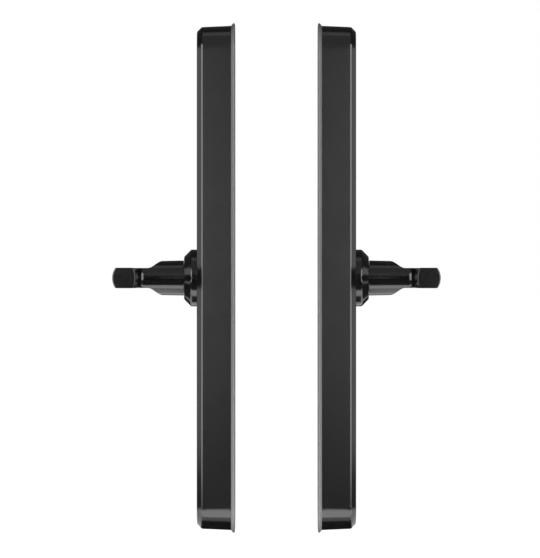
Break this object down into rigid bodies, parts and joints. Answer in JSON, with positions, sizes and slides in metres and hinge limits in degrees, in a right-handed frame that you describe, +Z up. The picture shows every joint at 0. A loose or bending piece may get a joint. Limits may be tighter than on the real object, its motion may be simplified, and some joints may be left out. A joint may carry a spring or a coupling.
{
  "type": "electronic door lock",
  "caption": "Slim electronic door lock set: outside and inside units with flared gaskets, chamfered collars and sprung lever handles that turn a spindle through the door.",
  "frame": {"origin": "on the spindle axis, midway between the two door faces", "axes": "+X along the spindle from the outside unit to the inside unit, +Z up along the units, -Y the way both lever bars point"},
  "size_m": [0.2208, 0.1525, 0.35],
  "materials": {
    "satin_black_coat": "satin black powder coat on die-cast metal",
    "zinc_plated_steel": "zinc-plated sheet and screws",
    "hardened_steel": "oiled hardened steel",
    "brass": "turned brass",
    "nickel_silver": "bright nickel-plated spring strip",
    "acetal": "natural acetal",
    "black_plastic": "fine-textured black plastic",
    "tinted_lens": "polished black-tinted lens",
    "grey_rubber": "dull grey moulded rubber",
    "clear_acrylic": "milky acrylic",
    "circuit_board": "green solder resist on glass-fibre board",
    "cell_wrap": "plain grey wrapped cell"
  },
  "bodies": {
    "units": {"outer_housing": "satin_black_coat", "outer_gasket": "grey_rubber", "outer_base_plate": "zinc_plated_steel", "outer_plate_screws": "zinc_plated_steel", "outer_collar": "satin_black_coat", "outer_collar_nut": "zinc_plated_steel", "outer_bush": "acetal", "outer_stop_pins": "hardened_steel", "outer_return_spring": "hardened_steel", "bolt_posts": "zinc_plated_steel", "clutch_motor": "zinc_plated_steel", "motor_bracket": "zinc_plated_steel", "touch_lens": "tinted_lens", "light_guide": "clear_acrylic", "keypad_board": "circuit_board", "keypad_screws": "zinc_plated_steel", "buzzer": "black_plastic", "keypad_socket": "black_plastic", "key_barrel": "brass", "inner_housing": "satin_black_coat", "inner_gasket": "grey_rubber", "inner_base_plate": "zinc_plated_steel", "inner_plate_screws": "zinc_plated_steel", "inner_collar": "satin_black_coat", "inner_collar_nut": "zinc_plated_steel", "inner_bush": "acetal", "inner_stop_pins": "hardened_steel", "inner_return_spring": "hardened_steel", "battery_box": "black_plastic", "batteries": "cell_wrap", "battery_contacts": "nickel_silver", "control_board": "circuit_board", "control_screws": "zinc_plated_steel", "control_chips": "black_plastic", "control_socket": "black_plastic"},
    "outer_lever": {"outer_lever": "satin_black_coat", "outer_drive_cam": "hardened_steel", "outer_cam_screw": "zinc_plated_steel", "spindle_hub": "hardened_steel"},
    "inner_lever": {"inner_lever": "satin_black_coat", "inner_drive_cam": "hardened_steel", "inner_cam_screw": "zinc_plated_steel"},
    "clutch_screw": {"clutch_screw": "hardened_steel"},
    "shift_fork": {"shift_fork": "acetal"},
    "clutch_ring": {"clutch_ring": "hardened_steel"},
    "key_plug": {"key_plug": "brass"},
    "key_cover": {"key_cover": "satin_black_coat"},
    "battery_cover": {"battery_cover": "black_plastic"}
  },
  "joints": [
    {"name": "outer_lever_turn", "type": "hinge", "parent": "units", "child": "outer_lever", "pos_m": [0, 0, 0], "axis": [1, 0, 0], "range_deg": [-45, 45], "stiffness_Nm_per_rad": 1.2, "springref_deg": -4.78, "deforming": ["outer_return_spring"]},
    {"name": "inner_lever_turn", "type": "hinge", "parent": "units", "child": "inner_lever", "pos_m": [0, 0, 0], "axis": [1, 0, 0], "range_deg": [-45, 45], "stiffness_Nm_per_rad": 1.2, "springref_deg": -4.78, "deforming": ["inner_return_spring"]},
    {"name": "clutch_screw_turn", "type": "hinge", "parent": "units", "child": "clutch_screw", "pos_m": [-0.035, 0, -0.034], "axis": [1, 0, 0], "range_deg": [0, 720]},
    {"name": "shift_fork_slide", "type": "slide", "parent": "units", "child": "shift_fork", "axis": [-1, 0, 0], "range_m": [0, 0.0022]},
    {"name": "clutch_ring_slide", "type": "slide", "parent": "outer_lever", "child": "clutch_ring", "axis": [-1, 0, 0], "range_m": [0, 0.0022]},
    {"name": "key_plug_turn", "type": "hinge", "parent": "units", "child": "key_plug", "pos_m": [-0.045, 0, -0.072], "axis": [1, 0, 0], "range_deg": [-90, 90]},
    {"name": "key_cover_lift", "type": "slide", "parent": "units", "child": "key_cover", "axis": [-1, 0, 0], "range_m": [0, 0.015]},
    {"name": "battery_cover_lift", "type": "slide", "parent": "units", "child": "battery_cover", "axis": [1, 0, 0], "range_m": [0, 0.025]}
  ],
  "couplings": [
    {"joint": "shift_fork_slide", "follows": "clutch_ring_slide", "ratio": 1},
    {"joint": "clutch_screw_turn", "follows": "clutch_ring_slide", "rad_per_m": 5710}
  ]
}
